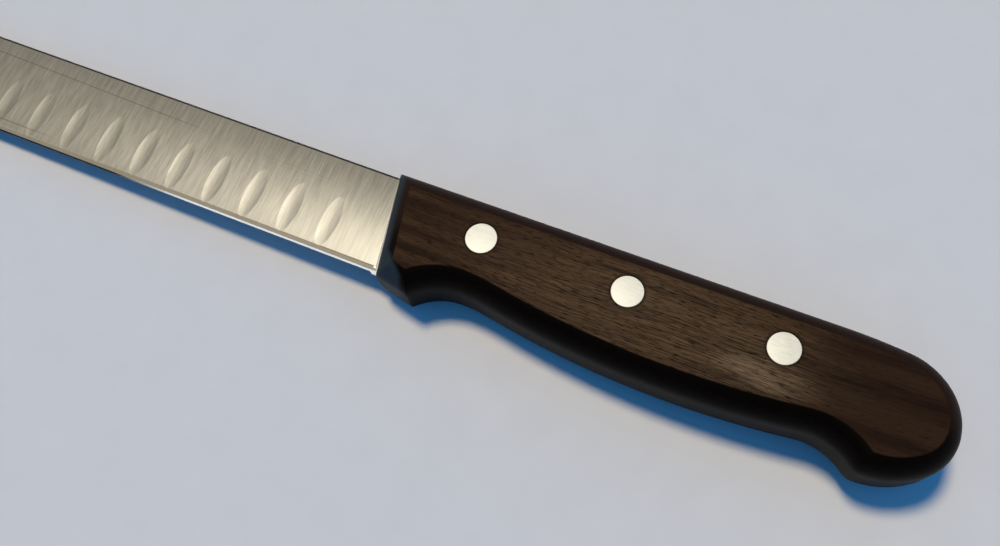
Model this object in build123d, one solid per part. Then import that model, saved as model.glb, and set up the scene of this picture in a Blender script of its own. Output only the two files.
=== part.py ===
"""Carving knife with a fluted slicing blade and a riveted rosewood handle, lying on its side.

Every length is in millimetres. The knife is drawn flat first: X runs along the spine from the tip
to the butt, with zero where the spine meets the handle, +Y is the spine side, -Y the edge side, and
Z is the thickness with zero in the middle of the blade. At the end the whole knife is tipped until
it rests on the flat of the handle and on the tip, and its origin goes to the middle of its
footprint, at table height.
"""
from build123d import *
from math import atan2, cos, degrees, hypot, pi, radians, sin, sqrt, tan
import os

# Blade
blade_length = 300.0            # along the spine, from the handle to the end of the round tip
blade_width = 23.3              # from the spine to the sharpened edge
spine_thickness = 2.0           # at the handle, and the thickness of the tang
tip_spine_thickness = 1.6       # the blade thins towards its tip
spine_easing = 0.3              # width taken off each corner of the spine
shoulder_thickness = 0.76       # just above the edge bevel, at the handle
edge_bevel_angle = 15.0         # on each side, in degrees
edge_land = 0.06                # flat that is left at the very edge
tip_upper_radius_share = 0.68   # the round tip's arc from the spine, as a share of the blade's width
tip_steps = 18                  # along that arc, to find where it touches the table

# The heel, which sharpening stones do not reach, so it stands below the worn edge
heel_length = 1.5
heel_drop = 0.45
heel_ramp = 0.5
heel_gap = 0.1                  # between the back of the heel and the front of the handle
plunge_gap = 0.15               # from the end of the ground face to the front of the handle

# Hollow-ground flutes; those of the lower face lie half-way between those of the upper face
flute_count = 28                # on the upper face, one more than on the lower
flute_pitch = 10.15
first_flute = 11.0              # from the handle to the middle of the first flute
flute_length = 13.0
flute_width = 4.3
flute_depth = 0.26
flute_edge_distance = 7.5       # from the sharpened edge to the middle of a flute

# Handle, one block of rosewood
handle_length = 130.2
handle_thickness = 17.6
handle_back_drop = 0.3          # where its back begins, below the line of the spine
handle_rise_share = 0.0085      # how fast its back climbs towards the butt
front_slant = 12.2              # of the front end, in degrees from square
edge_rounding = 6.0             # radius of the rounded long edges
side_sanding = 0.35             # taken off each side after the rounding, which leaves a crisp line
nose_radius = 10.4              # of the rounded front end, seen from above
nose_stock = 8.0                # wood ahead of the front that is turned away to make it round
ridge_run = 14.0                # how far a side of the block runs on past a ridge, to be cut off there
chin_ridge_radius = 1.2         # corner under the heel of the blade
guard_ridge_radius = 0.5        # corner in front of the finger notch
hook_ridge_radius = 3.0         # corner between the hook and the butt

# Places of the handle's outline, as shares of its length along X and of its depth along Y
handle_depth = 27.5
back_end_share = 0.791          # where the straight back ends
shoulder_shares = (0.895, 0.0)
crown_shares = (0.963, -0.137)
butt_mid_share = -0.495
butt_low_shares = (0.967, -0.847)
heel_corner_shares = (0.867, -0.998)
guard_tip_shares = (0.1106, -0.964)
notch_shares = (0.192, -0.796)
swell_start_shares = (0.242, -0.817)
swell_end_shares = (0.777, -0.858)
chin_share = -0.895
chin_low_share = 0.72            # below this depth the front end meets the guard
guard_bulge_share = 0.004       # sagitta of the guard's front curve, as a share of its chord

# Tang, and the saw slot that it lies in
tang_length = 105.0
tang_depth = 17.0               # at the front of the handle
tang_end_depth = 14.5
tang_end_radius = 4.0
slot_side_clearance = 0.05
slot_edge_clearance = 0.2

# Two-part rivets, pressed together through the handle and the tang
rivet_names = ("front", "middle", "rear")
rivet_pitch = 33.5
first_rivet = 25.6              # from the front of the handle, along the spine
rivet_row_drop = 9.95           # from the line of the spine
rivet_head_diameter = 7.0
rivet_head_height = 2.4
socket_diameter = 4.4
post_diameter = 3.0
post_length = 8.6
post_end_chamfer = 0.4
socket_end_gap = 0.8            # from the socket's mouth to the post's head
socket_bore_extra = 1.0         # bore left free below the end of the post
rivet_clearance = 0.05          # round each head, tube and post, on the radius
tang_hole_clearance = 0.2       # round each tube, on the radius

# One overrun serves every cut, and points this near a surface count as on it
overrun = 1.0
touch_tolerance = 0.05

handle_half = handle_thickness / 2
tang_half = spine_thickness / 2
blade_taper_share = (spine_thickness - tip_spine_thickness) / 2 / blade_length
face_slope_share = (spine_thickness - shoulder_thickness) / 2 / blade_width
front_lean = tan(radians(front_slant))
far = 2 * handle_length         # where the sides of a slab lie that are not rounded
heel_edge = -(blade_width + heel_drop)
flute_y = flute_edge_distance - blade_width


def front_x(y, offset=0.0):
    """X of the slanted front of the handle at height y, moved by offset along X."""
    return -y * front_lean + offset


def face_z(x, y):
    """Half the thickness of the ground blade at a point of its outline."""
    return tang_half + x * blade_taper_share + y * face_slope_share


def half_space(point, normal):
    """A block that stands on the plane through point and reaches far out along normal."""
    reach = 2 * (blade_length + handle_length)
    block = Box(reach, reach, reach, align=(Align.CENTER, Align.CENTER, Align.MIN))
    return Plane(origin=point, z_dir=normal) * block


def both_sides(shape):
    """The shape and its mirror image on the other side of the blade."""
    return [shape, mirror(shape, about=Plane.XY)]


def upright_cylinder(x, diameter, low, high):
    """A round bar across the knife's thickness, on the row of rivets."""
    bar = Cylinder(diameter / 2, high - low, align=(Align.CENTER, Align.CENTER, Align.MIN))
    return Pos(x, -rivet_row_drop, low) * bar


def rivet_places():
    """X of each rivet, from the front one to the rear one."""
    return [first_rivet + number * rivet_pitch for number in range(len(rivet_names))]


def back_y(x):
    """The straight back of the handle at x."""
    return x * handle_rise_share - handle_back_drop


# Blade

def tang_outline(clearance):
    """The tang from just inside the handle's front, or the slot for it when clearance is given."""
    end = tang_length + clearance
    front_low = -(tang_depth + clearance)
    extra = overrun if clearance else 0.0
    return [
        (front_x(0.0) - extra, back_y(0.0) + extra),
        (end, back_y(end) + extra),
        (end, -(tang_end_depth + clearance)),
        (front_x(front_low) - extra, front_low),
    ]


def blade_outline():
    """The outline of blade and tang together, seen from the side."""
    upper_radius = blade_width * tip_upper_radius_share
    lower_radius = blade_width - upper_radius
    spine_end = (-blade_length + upper_radius, 0.0)
    heel_back = front_x(heel_edge, -heel_gap)
    heel_front = heel_back - heel_length
    edge = [
        (-blade_length + lower_radius, -blade_width),
        (heel_front - heel_ramp, -blade_width),
        (heel_front, heel_edge),
        (heel_back, heel_edge),
        (front_x(-tang_depth, -heel_gap), -tang_depth),
    ]
    start, end_top, end_low, _ = tang_outline(0.0)
    lines = Polyline(
        *edge,
        (front_x(-tang_depth), -tang_depth),
        end_low,
        end_top,
        start,
        (front_x(0.0), 0.0),
        spine_end,
    )
    tip_end = (-blade_length, -upper_radius)
    upper = TangentArc(spine_end, tip_end, tangent=(-1, 0))
    lower = TangentArc(tip_end, edge[0], tangent=(0, -1))
    return make_face([*lines.edges(), *upper.edges(), *lower.edges()])


def edge_bevel(edge_y, start_x, end_x):
    """What grinding takes off one side of the edge between two places along it."""
    slope = tan(radians(edge_bevel_angle))
    ground = half_space((0.0, edge_y, edge_land / 2), (0.0, -slope, 1.0))
    reach = 2 * blade_length
    span = Box(end_x - start_x, reach, reach, align=(Align.MIN, Align.CENTER, Align.CENTER))
    return ground & Pos(start_x, 0.0, 0.0) * span


def flute(x):
    """The rounded rim of the grinding wheel where it cuts one hollow into the upper face."""
    wheel_radius = (flute_length / 2) ** 2 / (2 * flute_depth)
    rim_radius = (flute_width / 2) ** 2 / (2 * flute_depth)
    wheel = Rot(0, 90, 0) * Torus(wheel_radius - rim_radius, rim_radius)
    place = Plane(
        origin=(x, flute_y, face_z(x, flute_y)),
        x_dir=(1, 0, 0),
        z_dir=(0, -face_slope_share, 1),
    )
    return place * Pos(0, 0, wheel_radius - flute_depth) * wheel


def make_blade():
    """The ground and fluted blade, with its tang in one piece."""
    plate = extrude(blade_outline(), tang_half, both=True)
    rounded = [
        edge
        for edge in plate.edges().filter_by(Axis.Z)
        if edge.center().X > tang_length - overrun
    ]
    plate = fillet(rounded, tang_end_radius)

    ground = half_space((0.0, 0.0, tang_half), (-blade_taper_share, -face_slope_share, 1.0))
    slant = radians(front_slant)
    plunge_start = (front_x(0.0, -plunge_gap), 0.0, tang_half)
    plunge = half_space(plunge_start, (-cos(slant), -sin(slant), 1.0))
    heel_front = front_x(heel_edge, -heel_gap) - heel_length
    heel_end = front_x(heel_edge) + overrun
    eased = half_space((0.0, 0.0, tang_half - spine_easing), (-blade_taper_share, 1.0, 1.0))
    cuts = both_sides(ground & plunge)
    cuts += both_sides(eased & plunge)
    cuts += both_sides(edge_bevel(-blade_width, -blade_length - overrun, heel_front))
    cuts += both_sides(edge_bevel(heel_edge, heel_front, heel_end))
    for cut in cuts:
        plate -= cut

    for number in range(flute_count):
        plate -= flute(-first_flute - number * flute_pitch)
    for number in range(flute_count - 1):
        between = -first_flute - (number + 1 / 2) * flute_pitch
        plate -= mirror(flute(between), about=Plane.XY)
    hole = socket_diameter + 2 * tang_hole_clearance
    for x in rivet_places():
        plate -= upright_cylinder(x, hole, -tang_half - overrun, tang_half + overrun)
    return plate


# Handle

def place(shares):
    """A point of the handle's outline from its shares of length and depth."""
    return (handle_length * shares[0], handle_depth * shares[1])


def run_on(curve):
    """The same arc, carried on a little past its end, so that no joint of the path lies on a ridge."""
    return TangentArc(curve @ 0, curve @ (1 + overrun / curve.length), tangent=curve % 0)


def run_down(curve):
    """The arc that carries a curve on past its end, until it heads straight away from the back."""
    heading = (curve % 1 + Vector(0, -1)).normalized()
    return TangentArc(curve @ 1, curve @ 1 + heading * ridge_run, tangent=curve % 1)


def rounded_slab(path, far_points):
    """A slab of wood, rounded along a smooth path, closed far from it and then sanded on both sides."""
    far_sides = Polyline(*far_points)
    outline = make_face([edge for curve in (*path, far_sides) for edge in curve.edges()])
    slab = extrude(outline, handle_half + side_sanding, both=True)
    middles = [curve @ 0.5 for curve in path]
    long_edges = [
        edge
        for edge in slab.edges()
        for middle in middles
        if hypot((edge @ 0.5).X - middle.X, (edge @ 0.5).Y - middle.Y) < touch_tolerance
    ]
    return fillet(long_edges, edge_rounding) & Box(4 * far, 4 * far, handle_thickness)


def back_slab():
    """Wood bounded by the straight back, the round butt and the heel under it."""
    start = (-nose_stock, back_y(-nose_stock))
    back_end_x = handle_length * back_end_share
    back = Line(start, (back_end_x, back_y(back_end_x)))
    shoulder = TangentArc(back @ 1, place(shoulder_shares), tangent=back % 1)
    crown = TangentArc(shoulder @ 1, place(crown_shares), tangent=shoulder % 1)
    butt_mid = (handle_length, handle_depth * butt_mid_share)
    butt = TangentArc(crown @ 1, butt_mid, tangent=crown % 1)
    butt_low = TangentArc(butt @ 1, place(butt_low_shares), tangent=butt % 1)
    heel = run_on(TangentArc(butt_low @ 1, place(heel_corner_shares), tangent=butt_low % 1))
    below = run_down(heel)
    path = [back, shoulder, crown, butt, butt_low, heel, below]
    return rounded_slab(path, [below @ 1, (-nose_stock, (below @ 1).Y), start])


def belly_slab():
    """Wood bounded by the finger notch, the swell for the palm and the hook."""
    notch = run_on(TangentArc(place(notch_shares), place(guard_tip_shares), tangent=(-1, 0)))
    dip = TangentArc(place(notch_shares), place(swell_start_shares), tangent=(1, 0))
    swell = TangentArc(dip @ 1, place(swell_end_shares), tangent=dip % 1)
    hook = run_on(TangentArc(swell @ 1, place(heel_corner_shares), tangent=swell % 1))
    ahead = run_down(notch)
    behind = run_down(hook)
    far_points = [
        ahead @ 1, (-far, (ahead @ 1).Y), (-far, far), (far, far), (far, (behind @ 1).Y), behind @ 1
    ]
    return rounded_slab([ahead, notch, dip, swell, hook, behind], far_points)


def guard_slab():
    """Wood bounded by the curve that slants down from the front end to the tip of the guard."""
    chin_y = handle_depth * chin_share
    chin = (front_x(chin_y), chin_y)
    guard_tip = place(guard_tip_shares)
    chord = hypot(guard_tip[0] - chin[0], guard_tip[1] - chin[1])
    bulge = SagittaArc(chin, guard_tip, -chord * guard_bulge_share)
    before = -overrun / bulge.length
    guard = run_on(TangentArc(bulge @ before, guard_tip, tangent=bulge % before))
    below = run_down(guard)
    start = guard @ 0 - (guard % 0) * handle_depth
    ahead = Line(start, guard @ 0)
    square_off = start + (guard % 0).rotate(Axis.Z, 90) * far
    far_points = [below @ 1, (far, (below @ 1).Y), (far, far), square_off, start]
    return rounded_slab([ahead, guard, below], far_points)


def nose_cut():
    """What turning the front end round takes away, along the slanted front."""
    slant = radians(front_slant)
    width = 2 * nose_radius
    stock = Pos(nose_radius, 0) * Rectangle(width + handle_depth, width, align=(Align.MAX, Align.CENTER))
    ring = stock - Pos(nose_radius, 0) * Circle(nose_radius)
    along = Plane(
        origin=(0.0, 0.0, 0.0),
        x_dir=(cos(slant), sin(slant), 0.0),
        z_dir=(sin(slant), -cos(slant), 0.0),
    )
    return along * extrude(ring, 2 * handle_depth, both=True)


def round_ridge(block, shares, radius):
    """Round the ridge that runs across the handle's thickness at a corner of its outline."""
    corner_x, corner_y = place(shares)
    ridge = [
        edge
        for edge in block.edges()
        if hypot((edge @ 0.5).X - corner_x, (edge @ 0.5).Y - corner_y) < edge_rounding / 2
        and edge.geom_type != GeomType.CIRCLE
        and abs((edge @ 0.5).Z) < handle_half - side_sanding
    ]
    return fillet(ridge, radius)


def round_chin(block):
    """Round the line where the turned front end meets the guard."""
    slant = radians(front_slant)
    low = -handle_depth * chin_low_share
    chin = [
        edge
        for edge in block.edges()
        if (edge @ 0.5).Y < low and all(on_nose(edge @ part, slant) for part in (0.0, 0.5, 1.0))
    ]
    return fillet(chin, chin_ridge_radius)


def on_nose(point, slant):
    """Whether a point lies on the turned front end."""
    along = point.X * cos(slant) + point.Y * sin(slant)
    return abs(hypot(along - nose_radius, point.Z) - nose_radius) < touch_tolerance


def make_handle():
    """The rosewood block with rounded edges, saw slot and stepped rivet holes."""
    block = (back_slab() - nose_cut()) & belly_slab() & guard_slab()
    block = round_chin(block)
    block = round_ridge(block, guard_tip_shares, guard_ridge_radius)
    block = round_ridge(block, heel_corner_shares, hook_ridge_radius)

    slot = make_face(Polyline(*tang_outline(slot_edge_clearance), close=True))
    block = block - extrude(slot, tang_half + slot_side_clearance, both=True)
    head = rivet_head_diameter + 2 * rivet_clearance
    tube = socket_diameter + 2 * rivet_clearance
    seat = handle_half - rivet_head_height
    for x in rivet_places():
        block = block - upright_cylinder(x, tube, -handle_half - overrun, handle_half + overrun)
        block = block - upright_cylinder(x, head, seat, handle_half + overrun)
        block = block - upright_cylinder(x, head, -handle_half - overrun, -seat)
    return block


# Rivets

def make_post(x):
    """The solid half of a rivet: flush head on the upper side and a chamfered post."""
    seat = handle_half - rivet_head_height
    head = upright_cylinder(x, rivet_head_diameter, seat, handle_half)
    post = upright_cylinder(x, post_diameter, seat - post_length, seat + overrun)
    post = chamfer(post.edges().sort_by(Axis.Z)[0], post_end_chamfer)
    return head + post


def make_socket(x):
    """The hollow half of a rivet: flush head on the lower side and a tube round the post."""
    seat = handle_half - rivet_head_height
    mouth = seat - socket_end_gap
    bore_end = seat - post_length - socket_bore_extra
    head = upright_cylinder(x, rivet_head_diameter, -handle_half, -seat)
    tube = upright_cylinder(x, socket_diameter, -seat - overrun, mouth)
    bore = upright_cylinder(x, post_diameter + 2 * rivet_clearance, bore_end, mouth + overrun)
    return head + tube - bore


# Rest on a table


def tip_points():
    """Points of the blade's tip that can be the first to touch the table."""
    upper_radius = blade_width * tip_upper_radius_share
    turns = [pi / 2 * (1 + step / tip_steps) for step in range(tip_steps + 1)]
    return [
        (-blade_length + upper_radius * (1 + cos(turn)), -upper_radius * (1 - sin(turn)))
        for turn in turns
    ]


def rest_turn():
    """The line and the angle that lay the knife down: the front line of the handle's lower flat side,
    and how far the knife turns about it until the round tip of the blade touches the table."""
    nose_depth = nose_radius - sqrt(nose_radius ** 2 - handle_half ** 2)
    slant = radians(front_slant)
    along = (sin(slant), -cos(slant), 0.0)
    crease = (nose_depth * cos(slant), nose_depth * sin(slant), -handle_half)
    tilts = []
    for x, y in tip_points():
        distance = nose_depth - (x * cos(slant) + y * sin(slant))
        tilts.append(atan2(handle_half - face_z(x, y), distance))
    return Axis(crease, along), degrees(min(tilts))


def to_origin(pieces):
    """The move that puts the middle of the knife's footprint at the origin."""
    boxes = [piece.bounding_box() for piece in pieces]
    low = [min(values) for values in zip(*(tuple(box.min) for box in boxes))]
    high = [max(values) for values in zip(*(tuple(box.max) for box in boxes))]
    print("before the move to the origin:", low, high)
    return Pos(-(low[0] + high[0]) / 2, -(low[1] + high[1]) / 2, -low[2])


def main():
    """Make the pieces, lay the knife down and write one file for each piece."""
    pieces = {"blade": make_blade(), "handle": make_handle()}
    for name, x in zip(rivet_names, rivet_places()):
        pieces[name + "_rivet_post"] = make_post(x)
        pieces[name + "_rivet_socket"] = make_socket(x)

    crease, tilt = rest_turn()
    print("rest tilt in degrees:", tilt)
    lying = {name: piece.rotate(crease, tilt) for name, piece in pieces.items()}
    move = to_origin(lying.values())
    os.makedirs("parts", exist_ok=True)
    for name, piece in lying.items():
        export_step(move * piece, f"parts/{name}.step")


main()
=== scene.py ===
"""Finish and studio for a carving knife: ground steel, oiled rosewood and flush rivets on a pale table.

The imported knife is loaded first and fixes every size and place. The knife's own axes are those that
it was drawn in: X along the spine from the tip to the butt with zero at the front of the handle, Y
from the edge up to the spine with zero on the spine, and Z through the thickness. Patterns are laid
out in millimetres along those axes, so that they follow the knife and not the table.
"""
import math
from collections import Counter

import bmesh
import bpy
from bpy.props import FloatProperty, FloatVectorProperty, IntProperty, PointerProperty
from mathutils import Euler, Matrix, Vector


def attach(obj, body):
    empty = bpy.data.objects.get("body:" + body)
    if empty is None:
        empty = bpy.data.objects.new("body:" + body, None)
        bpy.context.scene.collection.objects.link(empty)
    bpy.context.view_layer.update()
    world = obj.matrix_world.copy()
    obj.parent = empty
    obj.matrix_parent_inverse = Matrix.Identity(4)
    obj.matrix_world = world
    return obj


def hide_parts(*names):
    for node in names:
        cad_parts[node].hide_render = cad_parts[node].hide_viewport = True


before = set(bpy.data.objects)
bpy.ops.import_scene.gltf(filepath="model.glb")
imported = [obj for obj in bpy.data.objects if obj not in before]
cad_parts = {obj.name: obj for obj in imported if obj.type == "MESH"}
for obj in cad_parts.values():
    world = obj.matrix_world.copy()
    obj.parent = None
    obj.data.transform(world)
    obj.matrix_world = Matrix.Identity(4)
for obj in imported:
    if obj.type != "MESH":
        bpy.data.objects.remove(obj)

bl_info = {
    "name": "Carving knife",
    "version": (1, 0, 0),
    "blender": (4, 5, 0),
    "location": "3D View > Sidebar > Knife",
    "description": "Dresses a carving knife in ground steel, rosewood and rivets and lights it",
    "category": "Object",
}

MM = 0.001
# Where the knife's own axes lie on the table, in metres, and how they are turned there
KNIFE_PLACE = (0.08482, 0.01346, 0.00866)
KNIFE_TURN = tuple(math.radians(angle) for angle in (0.333688, -1.542986, -0.004493))
# Half the thickness of the handle between its sanded sides, in millimetres
HANDLE_HALF = 8.8
# How far the handle's front leans back for each millimetre from the spine to the edge
FRONT_LEAN = 0.2162

# A Map Range node's sockets, in the order in which this script gives their values, and one that
# starts and ends gently
RANGE = ("Value", "From Min", "From Max", "To Min", "To Max")
SMOOTH = {"interpolation_type": "SMOOTHSTEP"}
# The setting and the sockets of a Mix node that lays one colour over another
COLOURS = {"data_type": "RGBA"}
SHARE, UNDER, OVER = 0, 6, 7
# The settings of Math and Vector Math nodes
ADD, SUBTRACT, MULTIPLY, MULTIPLY_ADD, ABSOLUTE, MAXIMUM, POWER, LENGTH, WRAP = (
    {"operation": name} for name in (
        "ADD", "SUBTRACT", "MULTIPLY", "MULTIPLY_ADD", "ABSOLUTE", "MAXIMUM", "POWER", "LENGTH", "WRAP"))


# Sizes and colours

def linear(code):
    """A colour written as sRGB hex, such as #806040, as linear red, green and blue."""
    parts = [int(code[start:start + 2], 16) / 255 for start in (1, 3, 5)]
    return tuple(p / 12.92 if p <= 0.04045 else ((p + 0.055) / 1.055) ** 2.4 for p in parts)


def opaque(colour):
    """A colour with the fourth number that a node's colour socket needs."""
    return (*colour[:3], 1.0)


def colour(name, description, code):
    """The settings of a colour that the sidebar shows."""
    return {
        "name": name, "description": description, "subtype": "COLOR", "size": 3,
        "min": 0.0, "max": 1.0, "default": linear(code)}


def millimetres(name, description, default, least=0.0):
    """The settings of a small length that the sidebar shows."""
    return {
        "name": name, "description": description, "subtype": "DISTANCE", "unit": "LENGTH",
        "precision": 5, "min": least * MM, "max": 0.1, "default": default * MM}


def share(name, description, default):
    """The settings of a share from none to all that the sidebar shows."""
    return {
        "name": name, "description": description, "subtype": "FACTOR",
        "min": 0.0, "max": 1.0, "default": default}


class KnifeBladeLook(bpy.types.PropertyGroup):
    """Ground stainless steel."""

    steel: FloatVectorProperty(**colour("Steel", "Colour of the ground faces", "#B5B0A5"))
    bevel: FloatVectorProperty(**colour("Bevel", "Colour of the sharpened bevel", "#DDD3BF"))
    # a painted dark reflection in a strip just below the spine
    spine: FloatVectorProperty(**colour("Spine", "Colour of the painted dark reflection below the spine", "#3B3731"))
    scratch: FloatVectorProperty(**colour("Scratches", "Colour of scratches and hair lines", "#6E675C"))
    # a painted dark reflection along the edge towards the tip
    edge_shade: FloatVectorProperty(**colour("Painted edge shade", "Colour of the painted dark reflection along the edge towards the tip", "#2C2824"))
    # a painted glint along the edge near the handle and in a strip in front of the handle
    painted_glint: FloatVectorProperty(**colour("Painted glint", "Colour of the painted glint on the edge and in front of the handle", "#F3EFE6"))
    roughness: FloatProperty(**share("Roughness", "How far a ground face spreads a reflection", 0.42))
    crown: FloatProperty(
        name="Crown", description="How far the ground face bulges between spine and edge",
        min=0.0, max=0.01, precision=4, default=0.005)
    # Real marks are too fine to show in a picture of the whole handle, so these are drawn coarser
    grind_width: FloatProperty(**millimetres(
        "Grinding mark", "Width of one mark of the grinding", 0.16, least=0.05))
    flute_softness: FloatProperty(**share(
        "Flute softness", "How far the shading of the flutes leans towards the flat blade", 0.5))


class KnifeHandleLook(bpy.types.PropertyGroup):
    """Oiled rosewood."""

    wood: FloatVectorProperty(**colour("Wood", "Colour of the sanded flats", "#3F2D1D"))
    # also the colour of the painted shade that rings each rivet head
    dark: FloatVectorProperty(**colour("Dark grain", "Colour of the pores and dark bands, and of the painted shade round the rivets", "#1A0F09"))
    worn: FloatVectorProperty(**colour("Worn wood", "Colour where hands wore the oil away", "#68533B"))
    scuffs_and_glint: FloatVectorProperty(**colour("Scuffed wood", "Colour of the pale scuffs", "#8A745A"))
    # the front end grain, with a painted bluish reflection in its colour
    end_grain_and_sheen: FloatVectorProperty(**colour("End grain and sheen", "Colour of the front end grain, with a painted bluish reflection", "#232D35"))
    polished: FloatVectorProperty(**colour("Polished wood", "Colour of the rounded edges", "#1E120C"))
    pore_width: FloatProperty(**millimetres("Pore", "Width of one pore of the wood", 0.2, least=0.05))


class KnifeRivetLook(bpy.types.PropertyGroup):
    """Two-part rivets of sanded nickel silver."""

    head_diameter: FloatProperty(**millimetres("Head", "Width of a rivet's head", 7.0))
    head_height: FloatProperty(**millimetres("Head height", "How deep a head sits in the wood", 2.4))
    rim_rounding: FloatProperty(**millimetres("Rim", "Rounding of a head's rim", 0.12))
    post_diameter: FloatProperty(**millimetres("Post", "Width of the solid half's post", 3.0))
    post_length: FloatProperty(**millimetres("Post length", "From the head to the post's end", 8.6))
    tube_diameter: FloatProperty(**millimetres("Tube", "Width of the hollow half's tube", 4.4))
    tube_gap: FloatProperty(**millimetres("Tube gap", "From the tube's mouth to the post's head", 0.8))
    bore_diameter: FloatProperty(**millimetres("Bore", "Width of the hole in the tube", 3.1))
    bore_extra: FloatProperty(**millimetres("Bore end", "Hole left free below the post", 1.0))
    first: FloatProperty(**millimetres("First rivet", "From the handle's front to the first rivet", 25.6))
    pitch: FloatProperty(**millimetres("Pitch", "From one rivet to the next", 33.5))
    row_drop: FloatProperty(**millimetres("Row", "From the line of the spine to the rivets", 9.95))
    count: IntProperty(name="Rivets", description="Number of rivets", min=1, max=9, default=3)
    metal: FloatVectorProperty(**colour("Rivet metal", "Colour of the rivet heads", "#FBF6E4"))
    roughness: FloatProperty(**share("Roughness", "How far a head spreads a reflection", 0.55))


class KnifeStageLook(bpy.types.PropertyGroup):
    """Table, lamps and backdrop."""

    paper: FloatVectorProperty(**colour("Table", "Colour of the pale table", "#C4C5C9"))
    lamp: FloatVectorProperty(**colour("Lamp", "Colour of the main lamp", "#FFE8BC"))
    lamp_strength: FloatProperty(
        name="Lamp strength", description="Light of the main lamp on the table, in watts a square metre",
        min=0.0, max=20.0, default=3.0)
    lamp_size: FloatProperty(
        name="Lamp size", description="How wide the lamp looks from the table, which softens shadows",
        subtype="ANGLE", unit="ROTATION", min=0.0, max=1.5, default=math.radians(11.0))
    sky: FloatVectorProperty(**colour("Fill light", "Colour of the light from all round", "#428CCB"))
    softbox: FloatVectorProperty(**colour("Softbox", "Colour of the cloth that metal mirrors", "#FFF9EA"))
    softbox_strength: FloatProperty(
        name="Softbox strength", description="How bright that cloth is, where one is white",
        min=0.0, max=40.0, default=36.1)
    backdrop: FloatVectorProperty(**colour("Backdrop", "Colour of the studio round the table", "#BCBAB6"))


# Nodes

NODES_IN_ROW, NODE_SPACING = 8, (220, 320)


def add_node(tree, kind, settings=(), inputs=()):
    """Add one node with its settings; an input takes a value, a socket or a whole node's result."""
    node = tree.nodes.new(kind)
    row, column = divmod(len(tree.nodes), NODES_IN_ROW)
    node.location = (column * NODE_SPACING[0], -row * NODE_SPACING[1])
    for name, value in dict(settings).items():
        setattr(node, name, value)
    for key, value in dict(inputs).items():
        if isinstance(value, bpy.types.Node):
            value = next(output for output in value.outputs if output.enabled)
        if isinstance(value, bpy.types.NodeSocket):
            tree.links.new(value, node.inputs[key])
        else:
            node.inputs[key].default_value = value
    return node


def finish_material(name, surface, **fixed):
    """A material whose shader takes its linked inputs from surface and its plain ones as given."""
    material = bpy.data.materials.new(name)
    material.use_nodes = True
    tree = material.node_tree
    tree.nodes.clear()
    inputs = surface(tree)
    for key, value in fixed.items():
        inputs[key.replace("_", " ")] = value
    shader = add_node(tree, "ShaderNodeBsdfPrincipled", inputs=inputs)
    add_node(tree, "ShaderNodeOutputMaterial", inputs={"Surface": shader})
    return material


def knife_millimetres(tree):
    """The place of a point along the knife's own axes, in millimetres."""
    place = add_node(tree, "ShaderNodeTexCoord").outputs["Object"]
    return add_node(tree, "ShaderNodeMapping", {"vector_type": "TEXTURE"}, {
        "Vector": place, "Location": KNIFE_PLACE, "Rotation": KNIFE_TURN, "Scale": (MM, MM, MM)})


def grain(tree, place, per_mm, detail=2.0, roughness=0.5):
    """A cloudy pattern with that many grains to a millimetre along each of the knife's axes."""
    stretched = add_node(tree, "ShaderNodeVectorMath", MULTIPLY, {0: place, 1: per_mm})
    return add_node(tree, "ShaderNodeTexNoise", inputs={
        "Vector": stretched, "Scale": 1.0, "Detail": detail, "Roughness": roughness})


# Ground steel. A strip or a reach is given in millimetres along one of the knife's own axes, from
# where a change begins to where it is complete, and then how strong it is at these two places where
# that is not none and all. A pattern is given by its grains to a millimetre along each of the axes,
# its detail and its roughness.

# Marks of the grinding: how many to a millimetre from spine to edge, and how much they count
# beside the broad patches in the tint of the steel
MARKS_ACROSS, MARK_DETAIL, MARK_WEIGHT = 0.15, (3.0, 0.7), 2.2
PATCHES = ((0.9, 0.09, 0.09), 3.0, 0.6)
TINT_RANGE, DARK_STEEL = (1.3, 1.9), 0.7
# Between these values of their pattern the marks make the steel that much smoother and rougher
MARK_RANGE, SMOOTHER, ROUGHER = (0.3, 0.7), 0.04, 0.05
# Hair lines that wiping the blade along its length has left, mostly near the spine
HAIRS, HAIR_RANGE, HAIR_STRIP = (0.02, 6.0, 6.0), (0.62, 0.72, 0.0, 0.45), (-12.0, -5.0, 0.1, 1.0)
# A long scratch below the spine, which runs out half-way to the handle, and a shorter one beside
# the edge: how each leans, how far it lies below the spine, its outline and its reach
SCRATCHES = (
    (0.0216, 6.25, (0.05, 0.22, 0.5, 0.0), (-62.0, -48.0, 1.0, 0.0)),
    (0.0, 20.4, (0.05, 0.25, 0.55, 0.0), (-94.0, -84.0, 1.0, 0.0)),
)
# How deep the marks and the scratches are
MARK_DEPTH, SCRATCH_DEPTH = 0.006, 0.01
# The strip of the bevel, and below the spine a strip of painted dark reflection
BEVEL_STRIP, SPINE_STRIP = (-21.98, -22.1, 0.0, 0.8), (-0.62, -0.50)
# Along the edge a painted glint shines near the handle, and a painted dark reflection runs towards the tip
GLINT_STRIP, EDGE_SHADE_STRIP, GLINT_REACH = (-22.82, -22.92), (-22.95, -23.05), (-66.0, -46.0)
# A strip of painted glint beside the handle, along X, and how it grows towards the edge
HEEL_GLINT_STRIP, HEEL_GLINT_GROWTH = (-0.75, -0.35), (-5.0, -20.0, 0.1, 0.9)
# How far the middle of the ground face lies below the spine
BLADE_MIDDLE = 11.65


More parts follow.
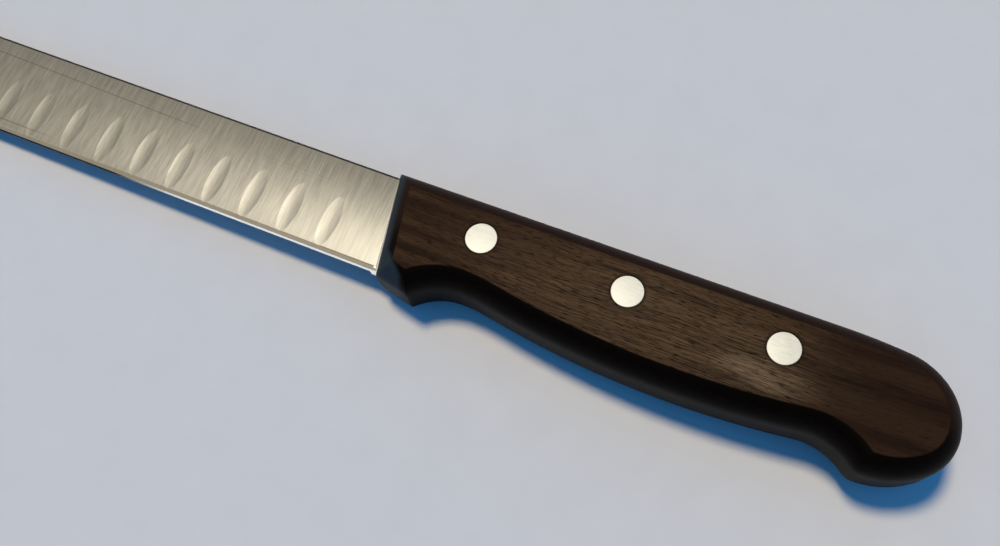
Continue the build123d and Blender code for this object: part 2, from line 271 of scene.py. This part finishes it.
def ground_steel(look):
    """Stainless knife steel, cross ground on a belt, so that fine marks run from spine to edge.

    It gives a soft warm grey sheen that brightens towards the light, with a painted dark reflection below
    the spine, a bevel that mirrors another part of the room and, along the edge, a painted glint near the
    handle and a painted dark reflection towards the tip.
    """
    def surface(tree):
        place = knife_millimetres(tree)
        parts = add_node(tree, "ShaderNodeSeparateXYZ", inputs={"Vector": place}).outputs
        x, y = parts["X"], parts["Y"]
        marks = grain(tree, place, (MM / look.grind_width, MARKS_ACROSS, MARKS_ACROSS), *MARK_DETAIL)
        patches = grain(tree, place, *PATCHES)
        both = add_node(tree, "ShaderNodeMath", MULTIPLY_ADD, {0: marks, 1: MARK_WEIGHT, 2: patches})
        tint = add_node(tree, "ShaderNodeMapRange", inputs=zip(RANGE, (both, *TINT_RANGE)))
        dark = opaque([DARK_STEEL * part for part in look.steel])
        base = add_node(tree, "ShaderNodeMix", COLOURS, {
            SHARE: tint, UNDER: dark, OVER: opaque(look.steel)})

        wiped = grain(tree, place, HAIRS)
        hairs = add_node(tree, "ShaderNodeMapRange", inputs=zip(RANGE, (wiped, *HAIR_RANGE)))
        above = add_node(tree, "ShaderNodeMapRange", inputs=zip(RANGE, (y, *HAIR_STRIP)))
        worn = add_node(tree, "ShaderNodeMath", MULTIPLY, {0: hairs, 1: above})
        for lean, below, width, reach in SCRATCHES:
            line = add_node(tree, "ShaderNodeMath", MULTIPLY_ADD, {0: x, 1: lean, 2: y})
            beside = add_node(tree, "ShaderNodeMath", ADD, {0: line, 1: below})
            away = add_node(tree, "ShaderNodeMath", ABSOLUTE, {0: beside})
            scratch = add_node(tree, "ShaderNodeMapRange", inputs=zip(RANGE, (away, *width)))
            length = add_node(tree, "ShaderNodeMapRange", inputs=zip(RANGE, (x, *reach)))
            scratch = add_node(tree, "ShaderNodeMath", MULTIPLY, {0: scratch, 1: length})
            worn = add_node(tree, "ShaderNodeMath", MAXIMUM, {0: worn, 1: scratch})

        bevel = add_node(tree, "ShaderNodeMapRange", inputs=zip(RANGE, (y, *BEVEL_STRIP)))
        # a painted dark reflection just below the spine
        spine = add_node(tree, "ShaderNodeMapRange", inputs=zip(RANGE, (y, *SPINE_STRIP)))
        glint_reach = add_node(tree, "ShaderNodeMapRange", inputs=zip(RANGE, (x, *GLINT_REACH)))
        edge_shade_reach = add_node(tree, "ShaderNodeMath", SUBTRACT, {0: 1.0, 1: glint_reach})
        # a painted dark reflection along the edge, towards the tip
        dull_tint_and_edge_shade = add_node(tree, "ShaderNodeMapRange", inputs=zip(RANGE, (y, *EDGE_SHADE_STRIP)))
        dull_tint_and_edge_shade = add_node(tree, "ShaderNodeMath", MULTIPLY, {0: dull_tint_and_edge_shade, 1: edge_shade_reach})
        # a painted glint along the edge near the handle
        edge = add_node(tree, "ShaderNodeMapRange", inputs=zip(RANGE, (y, *GLINT_STRIP)))
        painted_glint = add_node(tree, "ShaderNodeMath", MULTIPLY, {0: edge, 1: glint_reach})
        # a painted glint lies in a strip just in front of the handle, stronger towards the edge
        behind = add_node(tree, "ShaderNodeMath", MULTIPLY_ADD, {0: y, 1: FRONT_LEAN, 2: x})
        heel_glint = add_node(tree, "ShaderNodeMapRange", inputs=zip(RANGE, (behind, *HEEL_GLINT_STRIP)))
        lower = add_node(tree, "ShaderNodeMapRange", inputs=zip(RANGE, (y, *HEEL_GLINT_GROWTH)))
        heel_glint = add_node(tree, "ShaderNodeMath", MULTIPLY, {0: heel_glint, 1: lower})
        scuffs_and_glint = add_node(tree, "ShaderNodeMath", MAXIMUM, {0: painted_glint, 1: heel_glint})
        for cover, over in ((worn, look.scratch), (bevel, look.bevel), (spine, look.spine),
                            (dull_tint_and_edge_shade, look.edge_shade), (scuffs_and_glint, look.painted_glint)):
            base = add_node(tree, "ShaderNodeMix", COLOURS, {
                SHARE: cover, UNDER: base, OVER: opaque(over)})
        # where the glint is painted the steel is no metal, so its pale colour shows from every side
        metallic = add_node(tree, "ShaderNodeMath", SUBTRACT, {0: 1.0, 1: scuffs_and_glint})
        rough = add_node(tree, "ShaderNodeMapRange", inputs=zip(RANGE, (
            marks, *MARK_RANGE, look.roughness - SMOOTHER, look.roughness + ROUGHER)))

        # the ground face is slightly crowned between the spine and the edge
        middle = add_node(tree, "ShaderNodeMath", ADD, {0: y, 1: BLADE_MIDDLE})
        square = add_node(tree, "ShaderNodeMath", POWER, {0: middle, 1: 2.0})
        relief = add_node(tree, "ShaderNodeMath", MULTIPLY, {0: square, 1: -look.crown})
        for height, depth in ((marks, MARK_DEPTH), (worn, -SCRATCH_DEPTH)):
            relief = add_node(tree, "ShaderNodeMath", MULTIPLY_ADD, {0: height, 1: depth, 2: relief})
        bump = add_node(tree, "ShaderNodeBump", inputs={"Height": relief, "Distance": MM})
        along = add_node(tree, "ShaderNodeTangent", {"direction_type": "UV_MAP", "uv_map": "grinding"})
        return {"Base Color": base, "Metallic": metallic, "Roughness": rough, "Normal": bump,
                "Tangent": along}

    return finish_material("Ground stainless steel", surface, Anisotropic=0.25)


# Rosewood, in the same measures

# How far the grain wanders up and down on its way, and the bands, fibres and pores that follow it
WANDER, WANDER_WIDTH = (0.03, 0.06, 0.06), 3.5
BANDS, BAND_RANGE = ((0.012, 0.35, 0.25), 4.0, 0.6), (0.38, 0.62, 0.0, 0.75)
FIBRES, FIBRE_RANGE, FIBRE_WEIGHT = ((0.1, 3.2, 2.4), 4.0, 0.7), (0.34, 0.66), 0.45
PORES_ALONG, PORE_RANGE, PORE_DEPTH = 0.42, (0.565, 0.66, 0.0, 0.9), 0.8
# Worn by palms behind the middle rivet and scuffed below the rear one: the middle of the place, how
# fast it fades along each axis, and its outline
PALM = ((66.0, -14.0, HANDLE_HALF), (0.022, 0.07, 0.07), (1.25, 0.2, 0.0, 0.65))
SCUFF = ((91.0, -17.0, HANDLE_HALF), (0.085, 0.24, 0.24), (1.2, 0.1, 0.0, 0.6))
# Where the wood darkens towards the butt
BUTT_REACH = (92.0, 106.0, 0.0, 0.55)
# The painted shade round a rivet: from where to where outside its head, how strong, and the end of the row
# of rings, which would otherwise go on to the butt
RING_START, RING_END, RING_STRENGTH, RING_REACH = 0.1, 0.7, 0.8, (120.0, 112.0)
# How far below the sanded side its finish begins and is complete
FLAT_START, FLAT_FULL = 0.12, 0.01
# Where painted shade darkens the lower edge, which faces away from the lamp, and the share of its own
# colour that the polished wood keeps there
LOWER_SHADE_STRIP, LOWER_SHADE_SHARE = (-11.0, -16.0), 0.12
# The end grain and its painted bluish reflection, along X from the slanted front, and how the chin's ridge
# leans away from it
END_GRAIN_SHEEN, CHIN_STRIP = (3.6, 2.2), (-19.0, -24.0, 0.0, 4.2)
POLISHED_ROUGHNESS, SANDED_ROUGHNESS = 0.45, 0.75
WOOD_RELIEF = 0.03 * MM


def oiled_rosewood(look, rivets):
    """Dark rosewood, polished on its round edges and sanded dull on its flat sides.

    It gives a warm near-black brown with fine dark pores along the handle, paler where palms have
    worn the oil away behind the middle rivet, and a quiet sheen on the rounded edges only.
    """
    def surface(tree):
        place = knife_millimetres(tree)
        parts = add_node(tree, "ShaderNodeSeparateXYZ", inputs={"Vector": place}).outputs
        x, y, z = parts["X"], parts["Y"], parts["Z"]
        wander = grain(tree, place, WANDER, 1.0)
        shift = add_node(tree, "ShaderNodeMath", MULTIPLY_ADD, {0: wander, 1: WANDER_WIDTH, 2: y})
        moved = add_node(tree, "ShaderNodeCombineXYZ", inputs={"X": x, "Y": shift, "Z": z})
        bands = grain(tree, moved, *BANDS)
        fibres = grain(tree, moved, *FIBRES)
        fine = MM / look.pore_width
        pores = grain(tree, moved, (PORES_ALONG, fine, fine), 1.0)
        band = add_node(tree, "ShaderNodeMapRange", inputs=zip(RANGE, (bands, *BAND_RANGE)))
        fibre = add_node(tree, "ShaderNodeMapRange", inputs=zip(RANGE, (fibres, *FIBRE_RANGE)))
        pore = add_node(tree, "ShaderNodeMapRange", inputs=zip(RANGE, (pores, *PORE_RANGE)))
        tone = add_node(tree, "ShaderNodeMath", MULTIPLY_ADD, {0: fibre, 1: FIBRE_WEIGHT, 2: band})
        sanded = add_node(tree, "ShaderNodeMix", COLOURS, {
            SHARE: tone, UNDER: opaque(look.dark), OVER: opaque(look.wood)})

        # the places that are worn and scuffed, where the pale fibres show most
        for (middle, fading, outline), over in ((PALM, look.worn), (SCUFF, look.scuffs_and_glint)):
            apart = add_node(tree, "ShaderNodeVectorMath", SUBTRACT, {0: place, 1: middle})
            apart = add_node(tree, "ShaderNodeVectorMath", MULTIPLY, {0: apart, 1: fading})
            away = add_node(tree, "ShaderNodeVectorMath", LENGTH, {0: apart})
            spot = add_node(tree, "ShaderNodeMapRange", SMOOTH, zip(RANGE, (away, *outline)))
            spot = add_node(tree, "ShaderNodeMath", MULTIPLY, {0: spot, 1: fibre})
            sanded = add_node(tree, "ShaderNodeMix", COLOURS, {
                SHARE: spot, UNDER: sanded, OVER: opaque(over)})

        # the wood is darker towards the butt, and painted shade rings each rivet head
        butt = add_node(tree, "ShaderNodeMapRange", SMOOTH, zip(RANGE, (x, *BUTT_REACH)))
        half_pitch, head = rivets.pitch / MM / 2, rivets.head_diameter / MM / 2
        along = add_node(tree, "ShaderNodeMath", SUBTRACT, {0: x, 1: rivets.first / MM})
        along = add_node(tree, "ShaderNodeMath", WRAP, {0: along, 1: half_pitch, 2: -half_pitch})
        across = add_node(tree, "ShaderNodeMath", ADD, {0: y, 1: rivets.row_drop / MM})
        apart = add_node(tree, "ShaderNodeCombineXYZ", inputs={"X": along, "Y": across})
        away = add_node(tree, "ShaderNodeVectorMath", LENGTH, {0: apart})
        # painted shade round each rivet head
        ring_shade = add_node(tree, "ShaderNodeMapRange", inputs=zip(RANGE, (
            away, head + RING_START, head + RING_END, RING_STRENGTH, 0.0)))
        row = add_node(tree, "ShaderNodeMapRange", inputs=zip(RANGE, (x, *RING_REACH)))
        ring_shade = add_node(tree, "ShaderNodeMath", MULTIPLY, {0: ring_shade, 1: row})
        shade = add_node(tree, "ShaderNodeMath", MAXIMUM, {0: butt, 1: ring_shade})
        shade = add_node(tree, "ShaderNodeMath", MAXIMUM, {0: shade, 1: pore})
        sanded = add_node(tree, "ShaderNodeMix", COLOURS, {
            SHARE: shade, UNDER: sanded, OVER: opaque(look.dark)})

        # painted shade darkens the lower edge, which faces away from the lamp, from the front end to the
        # butt
        lower_shade = add_node(tree, "ShaderNodeMapRange", inputs=zip(RANGE, (y, *LOWER_SHADE_STRIP)))
        rounded = add_node(tree, "ShaderNodeMix", COLOURS, {
            SHARE: lower_shade, UNDER: opaque(look.polished),
            OVER: opaque([LOWER_SHADE_SHARE * part for part in look.polished])})
        # the front end shows grey end grain with a painted bluish reflection, down to the ridge of the chin
        behind = add_node(tree, "ShaderNodeMath", MULTIPLY_ADD, {0: y, 1: FRONT_LEAN, 2: x})
        chin = add_node(tree, "ShaderNodeMapRange", inputs=zip(RANGE, (y, *CHIN_STRIP)))
        behind = add_node(tree, "ShaderNodeMath", SUBTRACT, {0: behind, 1: chin})
        front = add_node(tree, "ShaderNodeMapRange", inputs=zip(RANGE, (behind, *END_GRAIN_SHEEN)))
        rounded = add_node(tree, "ShaderNodeMix", COLOURS, {
            SHARE: front, UNDER: rounded, OVER: opaque(look.end_grain_and_sheen)})

        depth = add_node(tree, "ShaderNodeMath", ABSOLUTE, {0: z})
        flat = add_node(tree, "ShaderNodeMapRange", inputs=zip(RANGE, (
            depth, HANDLE_HALF - FLAT_START, HANDLE_HALF - FLAT_FULL)))
        base = add_node(tree, "ShaderNodeMix", COLOURS, {SHARE: flat, UNDER: rounded, OVER: sanded})
        rough = add_node(tree, "ShaderNodeMapRange", inputs={
            "Value": flat, "To Min": POLISHED_ROUGHNESS, "To Max": SANDED_ROUGHNESS})
        grooves = add_node(tree, "ShaderNodeMath", MULTIPLY_ADD, {0: pore, 1: -PORE_DEPTH, 2: fibre})
        relief = add_node(tree, "ShaderNodeMath", MULTIPLY, {0: grooves, 1: flat})
        bump = add_node(tree, "ShaderNodeBump", inputs={"Height": relief, "Distance": WOOD_RELIEF})
        return {"Base Color": base, "Roughness": rough, "Normal": bump}

    return finish_material("Oiled rosewood", surface, Specular_IOR_Level=0.05)


# Rivets

# Fine scuffs of the sanding, in the same measures, and how dark they make the metal
SCUFFS, SCUFF_TINT, DULL_METAL = ((0.5, 2.2, 2.2), 3.0, 0.7), (0.3, 0.65), 0.84
# Between these values of their pattern the scuffs make the metal that much smoother and rougher
SCUFF_RANGE, SCUFF_ROUGHNESS = (0.3, 0.7), 0.05


def sanded_nickel_silver(look):
    """Nickel silver, sanded flush with the wood: a pale warm metal with a soft and even sheen.

    The sanding is so dull that the heads look half matt, and evenly pale from all sides.
    """
    def surface(tree):
        scuffs = grain(tree, knife_millimetres(tree), *SCUFFS)
        tint = add_node(tree, "ShaderNodeMapRange", inputs=zip(RANGE, (scuffs, *SCUFF_TINT)))
        dull_tint_and_edge_shade = opaque([DULL_METAL * part for part in look.metal])
        base = add_node(tree, "ShaderNodeMix", COLOURS, {
            SHARE: tint, UNDER: dull_tint_and_edge_shade, OVER: opaque(look.metal)})
        rough = add_node(tree, "ShaderNodeMapRange", inputs=zip(RANGE, (
            scuffs, *SCUFF_RANGE, look.roughness - SCUFF_ROUGHNESS, look.roughness + SCUFF_ROUGHNESS)))
        return {"Base Color": base, "Roughness": rough}

    return finish_material("Sanded nickel silver", surface, Metallic=0.5)


# Table

# Clouds about 11 mm wide, which is 90 to the metre
PAPER_CLOUDS = {"Scale": 90.0, "Detail": 4.0, "Roughness": 0.6}
PAPER_RANGE, DARK_PAPER = (0.3, 0.7), 0.965


def matt_paper(look):
    """Pale matt paper, with the faint cloudiness of its fibres."""
    def surface(tree):
        place = add_node(tree, "ShaderNodeTexCoord").outputs["Object"]
        clouds = add_node(tree, "ShaderNodeTexNoise", inputs={"Vector": place, **PAPER_CLOUDS})
        faint = add_node(tree, "ShaderNodeMapRange", inputs=zip(RANGE, (clouds, *PAPER_RANGE)))
        dark = opaque([DARK_PAPER * part for part in look.paper])
        base = add_node(tree, "ShaderNodeMix", COLOURS, {
            SHARE: faint, UNDER: dark, OVER: opaque(look.paper)})
        return {"Base Color": base}

    return finish_material("Matt paper", surface, Roughness=0.9, Specular_IOR_Level=0.1)


# Shapes

# The strip of the blade in which the flutes lie, along the knife's own Y, in millimetres
FLUTES_START, FLUTES_END = -8.0, -21.98
# The upright share of a direction above which a face belongs to one of the blade's two sides
FACING = 0.9
# How close two corners lie that are one, in metres on the blade and in millimetres on a rivet
SAME_CORNER = 0.0005 * MM
SAME_POINT = 0.0005
# How many steps a round part and its rim are turned in, and the angle from which an edge looks sharp
ROUND_STEPS, RIM_STEPS = 72, 4
SHARP_ANGLE = math.radians(38)


def on_knife():
    """The move from the knife's own axes, in millimetres, to its place on the table, in metres."""
    return Matrix.LocRotScale(Vector(KNIFE_PLACE), Euler(KNIFE_TURN), Vector((MM, MM, MM)))


def add_piece(name, mesh, replaced):
    """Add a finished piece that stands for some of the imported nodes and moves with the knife."""
    piece = bpy.data.objects.new(name, mesh)
    bpy.context.scene.collection.objects.link(piece)
    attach(piece, "root")
    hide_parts(*replaced)


def ground_copy(node, softness):
    """A joined copy of the blade that keeps its crisp lines, with a map that follows the grinding."""
    mesh = node.data.copy()
    corners = [tuple(normal.vector) for normal in mesh.corner_normals]
    sides = [Counter(tuple(round(part, 3) for part in corner) for corner in corners
                     if side * corner[2] > FACING).most_common(1)[0][0] for side in (1, -1)]
    form = bmesh.new()
    form.from_mesh(mesh)
    kept = form.loops.layers.float_vector.new("kept_normal")
    corner = iter(corners)
    for face in form.faces:
        for loop in face.loops:
            loop[kept] = next(corner)
    bmesh.ops.remove_doubles(form, verts=form.verts, dist=SAME_CORNER)
    to_knife = on_knife().inverted()
    grind = form.loops.layers.uv.new("grinding")
    normals = []
    for face in form.faces:
        face.smooth = True
        middle = to_knife @ face.calc_center_median()
        for loop in face.loops:
            normal = Vector(loop[kept])
            # the wheel leaves the flutes soft, so their walls catch the light less than bare shapes
            if FLUTES_END < middle.y < FLUTES_START and abs(normal.z) > FACING:
                normal = normal.lerp(Vector(sides[normal.z < 0]), softness).normalized()
            normals.append(normal)
            along = to_knife @ loop.vert.co
            loop[grind].uv = (along.x, along.y)
    form.loops.layers.float_vector.remove(kept)
    form.to_mesh(mesh)
    form.free()
    mesh.normals_split_custom_set(normals)
    return mesh


def turned(profile):
    """A closed round part from its profile: radius and height in millimetres, from pole to pole."""
    form = bmesh.new()
    corners = [form.verts.new((radius, 0.0, height)) for radius, height in profile]
    sides = [form.edges.new(pair) for pair in zip(corners, corners[1:])]
    bmesh.ops.spin(form, geom=corners + sides, cent=(0, 0, 0), axis=(0, 0, 1), steps=ROUND_STEPS,
                   angle=math.tau, use_merge=True)
    bmesh.ops.remove_doubles(form, verts=form.verts, dist=SAME_POINT)
    bmesh.ops.recalc_face_normals(form, faces=form.faces)
    # joining leaves the faces in an order that changes from run to run, so they follow their corners
    form.verts.index_update()
    in_order = sorted(form.faces, key=lambda face: sorted(corner.index for corner in face.verts))
    for place, face in enumerate(in_order):
        face.index = place
        face.smooth = True
    form.faces.sort()
    mesh = bpy.data.meshes.new("turned_part")
    form.to_mesh(mesh)
    form.free()
    mesh.set_sharp_from_angle(angle=SHARP_ANGLE)
    return mesh


def rounded_rim(radius, height, rounding, outward):
    """Profile points of a rim that turns from the face at a height down the side of a head."""
    points = []
    for step in range(RIM_STEPS + 1):
        turn = math.pi / 2 * step / RIM_STEPS
        points.append((radius - rounding * (1 - math.sin(turn)),
                       height - outward * rounding * (1 - math.cos(turn))))
    return points


def row_of_rivets(material):
    """Nodes that repeat a rivet along the handle at equal steps."""
    tree = bpy.data.node_groups.new("Row of rivets", "GeometryNodeTree")
    tree.is_modifier = True
    for name, kind in (("Rivet", "Geometry"), ("Count", "Int"), ("First", "Float"),
                       ("Pitch", "Float"), ("Row drop", "Float")):
        tree.interface.new_socket(name, in_out="INPUT", socket_type="NodeSocket" + kind)
    tree.interface.new_socket("Rivets", in_out="OUTPUT", socket_type="NodeSocketGeometry")
    given = add_node(tree, "NodeGroupInput").outputs
    drop = add_node(tree, "ShaderNodeMath", MULTIPLY, {0: given["Row drop"], 1: -1.0})
    start = add_node(tree, "ShaderNodeCombineXYZ", inputs={"X": given["First"], "Y": drop})
    step = add_node(tree, "ShaderNodeCombineXYZ", inputs={"X": given["Pitch"]})
    line = add_node(tree, "GeometryNodeMeshLine", {"mode": "OFFSET"}, {
        "Count": given["Count"], "Start Location": start, "Offset": step})
    copies = add_node(tree, "GeometryNodeInstanceOnPoints", inputs={
        "Points": line, "Instance": given["Rivet"]})
    real = add_node(tree, "GeometryNodeRealizeInstances", inputs={"Geometry": copies})
    painted = add_node(tree, "GeometryNodeSetMaterial", inputs={"Geometry": real, "Material": material})
    add_node(tree, "NodeGroupOutput", inputs={"Rivets": painted})
    return tree


def repeated(mesh, tree, values):
    """The plain mesh that a node tree makes of a mesh, with its named inputs set."""
    carrier = bpy.data.objects.new("row_carrier", mesh)
    bpy.context.scene.collection.objects.link(carrier)
    row = carrier.modifiers.new("Row", "NODES")
    row.node_group = tree
    for socket in tree.interface.items_tree:
        if socket.in_out == "INPUT" and socket.name in values:
            row[socket.identifier] = values[socket.name]
    finished = carrier.evaluated_get(bpy.context.evaluated_depsgraph_get())
    result = bpy.data.meshes.new_from_object(finished)
    carrier.modifiers.remove(row)
    bpy.data.objects.remove(carrier)
    return result


# Pieces

class KNIFE_OT_dress_blade(bpy.types.Operator):
    """Give the blade its ground steel"""

    bl_idname = "knife.dress_blade"
    bl_label = "Blade"

    def execute(self, context):
        look = context.scene.knife_blade
        mesh = ground_copy(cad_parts["blade"], look.flute_softness)
        mesh.materials.clear()
        mesh.materials.append(ground_steel(look))
        add_piece("ground_blade", mesh, ["blade"])
        return {"FINISHED"}


class KNIFE_OT_dress_handle(bpy.types.Operator):
    """Give the handle its rosewood"""

    bl_idname = "knife.dress_handle"
    bl_label = "Handle"

    def execute(self, context):
        wood = oiled_rosewood(context.scene.knife_handle, context.scene.knife_rivets)
        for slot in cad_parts["handle"].material_slots:
            slot.material = wood
        return {"FINISHED"}


class KNIFE_OT_make_rivets(bpy.types.Operator):
    """Make the two halves of every rivet"""

    bl_idname = "knife.make_rivets"
    bl_label = "Rivets"

    def execute(self, context):
        look = context.scene.knife_rivets
        tree = row_of_rivets(sanded_nickel_silver(look))
        rim = look.rim_rounding / MM
        head, post, tube, bore = (diameter / 2 / MM for diameter in (
            look.head_diameter, look.post_diameter, look.tube_diameter, look.bore_diameter))
        seat = HANDLE_HALF - look.head_height / MM
        post_end = seat - look.post_length / MM
        chamfer = post / 4
        mouth = seat - look.tube_gap / MM
        bore_end = post_end - look.bore_extra / MM
        profiles = {
            "post": [
                (0.0, HANDLE_HALF), *rounded_rim(head, HANDLE_HALF, rim, 1), (head, seat), (post, seat),
                (post, post_end + chamfer), (post - chamfer, post_end), (0.0, post_end)],
            "socket": [
                (0.0, -HANDLE_HALF), *rounded_rim(head, -HANDLE_HALF, rim, -1), (head, -seat),
                (tube, -seat), (tube, mouth), (bore, mouth), (bore, bore_end), (0.0, bore_end)],
        }
        values = {"Count": look.count, "First": look.first / MM, "Pitch": look.pitch / MM,
                  "Row drop": look.row_drop / MM}
        for half, profile in profiles.items():
            mesh = repeated(turned(profile), tree, values)
            mesh.transform(on_knife())
            replaced = [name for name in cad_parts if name.endswith("_rivet_" + half)]
            add_piece("rivet_" + half + "s", mesh, replaced)
        return {"FINISHED"}


# Stage, in metres

TABLE_REACH = 20.0
TO_LAMP = Vector((-0.27, 0.17, 0.95))
# The cloth hangs this far from the middle of the handle
TO_SOFTBOX, SOFTBOX_DISTANCE = Vector((-0.200, 0.036, 0.979)), 1.2
SOFTBOX_AIM, SOFTBOX_SIZE = Vector((0.08, 0.0, 0.01)), (0.30, 0.16)
# The studio is pale in front and at table height, and dark above and behind the camera
FRONT_RANGE, LOW_RANGE, DARK_BACKDROP = (-0.75, -0.2, 0.0, 0.7), (0.2, 0.1), 0.08
CAMERA_PLACE = (0.15385, -0.06574, 0.20681)
CAMERA_TURN = tuple(math.radians(angle) for angle in (21.022677, 2.744546, 23.015402))
CAMERA_LENS, CAMERA_SENSOR, CAMERA_NEAR = 34.2, 36.0, 0.01


def lit_studio(look):
    """A world that fills the shadows and that the camera and polished things see as a backdrop."""
    world = bpy.data.worlds.new("studio")
    world.use_nodes = True
    tree = world.node_tree
    tree.nodes.clear()
    path = add_node(tree, "ShaderNodeLightPath").outputs
    seen = path["Is Camera Ray"]
    for ray in ("Is Glossy Ray", "Is Transmission Ray"):
        seen = add_node(tree, "ShaderNodeMath", MAXIMUM, {0: seen, 1: path[ray]})
    towards = add_node(tree, "ShaderNodeTexCoord").outputs["Generated"]
    towards = add_node(tree, "ShaderNodeSeparateXYZ", inputs={"Vector": towards}).outputs
    front = add_node(tree, "ShaderNodeMapRange", inputs=zip(RANGE, (towards["Y"], *FRONT_RANGE)))
    low = add_node(tree, "ShaderNodeMapRange", inputs=zip(RANGE, (towards["Z"], *LOW_RANGE)))
    pale = add_node(tree, "ShaderNodeMath", MAXIMUM, {0: front, 1: low})
    pale = add_node(tree, "ShaderNodeMath", MAXIMUM, {0: pale, 1: path["Is Camera Ray"]})
    studio = add_node(tree, "ShaderNodeMix", COLOURS, {
        SHARE: pale, UNDER: opaque([DARK_BACKDROP * part for part in look.backdrop]),
        OVER: opaque(look.backdrop)})
    light = add_node(tree, "ShaderNodeMix", COLOURS, {
        SHARE: seen, UNDER: opaque(look.sky), OVER: studio})
    sky = add_node(tree, "ShaderNodeBackground", inputs={"Color": light})
    add_node(tree, "ShaderNodeOutputWorld", inputs={"Surface": sky})
    return world


class KNIFE_OT_set_stage(bpy.types.Operator):
    """Lay the knife on its table, light it and aim the camera"""

    bl_idname = "knife.set_stage"
    bl_label = "Stage"

    def execute(self, context):
        look = context.scene.knife_stage
        collection = context.scene.collection
        mesh = bpy.data.meshes.new("table_top")
        corners = [(TABLE_REACH * x, TABLE_REACH * y, 0.0) for x, y in ((-1, -1), (1, -1), (1, 1), (-1, 1))]
        mesh.from_pydata(corners, [], [(0, 1, 2, 3)])
        mesh.materials.append(matt_paper(look))
        floor = bpy.data.objects.new("table_top", mesh)
        collection.objects.link(floor)

        # the main lamp gives the light and the shadows, and the cloth beside it what metal mirrors
        light = bpy.data.lights.new("main_lamp", "SUN")
        light.energy = look.lamp_strength
        light.angle = look.lamp_size
        light.color = look.lamp
        lamp = bpy.data.objects.new("main_lamp", light)
        lamp.rotation_euler = TO_LAMP.to_track_quat("Z", "Y").to_euler()
        lamp.location = TO_LAMP
        lamp.visible_glossy = False
        collection.objects.link(lamp)

        light = bpy.data.lights.new("softbox", "AREA")
        light.shape = "RECTANGLE"
        light.size, light.size_y = SOFTBOX_SIZE
        light.energy = look.softbox_strength * math.pi * light.size * light.size_y
        light.color = look.softbox
        cloth = bpy.data.objects.new("softbox", light)
        cloth.rotation_euler = TO_SOFTBOX.to_track_quat("Z", "Y").to_euler()
        cloth.location = SOFTBOX_AIM + SOFTBOX_DISTANCE * TO_SOFTBOX
        cloth.visible_diffuse = False
        cloth.visible_camera = False
        collection.objects.link(cloth)
        context.scene.world = lit_studio(look)

        lens = bpy.data.cameras.new("camera")
        lens.sensor_width = CAMERA_SENSOR
        lens.lens = CAMERA_LENS
        lens.clip_start = CAMERA_NEAR
        camera = bpy.data.objects.new("camera", lens)
        camera.location = CAMERA_PLACE
        camera.rotation_euler = CAMERA_TURN
        collection.objects.link(camera)
        context.scene.camera = camera
        context.scene.view_settings.view_transform = "Standard"
        return {"FINISHED"}


# Sidebar and start

GROUPS = {
    "knife_blade": KnifeBladeLook,
    "knife_handle": KnifeHandleLook,
    "knife_rivets": KnifeRivetLook,
    "knife_stage": KnifeStageLook,
}
PIECES = (
    ("knife_blade", KNIFE_OT_dress_blade),
    ("knife_handle", KNIFE_OT_dress_handle),
    ("knife_rivets", KNIFE_OT_make_rivets),
    ("knife_stage", KNIFE_OT_set_stage),
)


class KNIFE_PT_panel(bpy.types.Panel):
    """Sizes, colours and the button of each piece and of the stage"""

    bl_idname = "KNIFE_PT_panel"
    bl_label = "Carving knife"
    bl_space_type = "VIEW_3D"
    bl_region_type = "UI"
    bl_category = "Knife"

    def draw(self, context):
        for group, operator in PIECES:
            box = self.layout.box()
            look = getattr(context.scene, group)
            for name in look.__annotations__:
                box.prop(look, name)
            box.operator(operator.bl_idname)


def register():
    for name, group in GROUPS.items():
        bpy.utils.register_class(group)
        setattr(bpy.types.Scene, name, PointerProperty(type=group))
    for _, operator in PIECES:
        bpy.utils.register_class(operator)
    bpy.utils.register_class(KNIFE_PT_panel)


def unregister():
    bpy.utils.unregister_class(KNIFE_PT_panel)
    for _, operator in reversed(PIECES):
        bpy.utils.unregister_class(operator)
    for name, group in GROUPS.items():
        delattr(bpy.types.Scene, name)
        bpy.utils.unregister_class(group)


def main():
    """Register the tools and make every piece and the stage."""
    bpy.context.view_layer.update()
    register()
    bpy.ops.knife.dress_blade()
    bpy.ops.knife.dress_handle()
    bpy.ops.knife.make_rivets()
    bpy.ops.knife.set_stage()


if __name__ == "__main__":
    main()
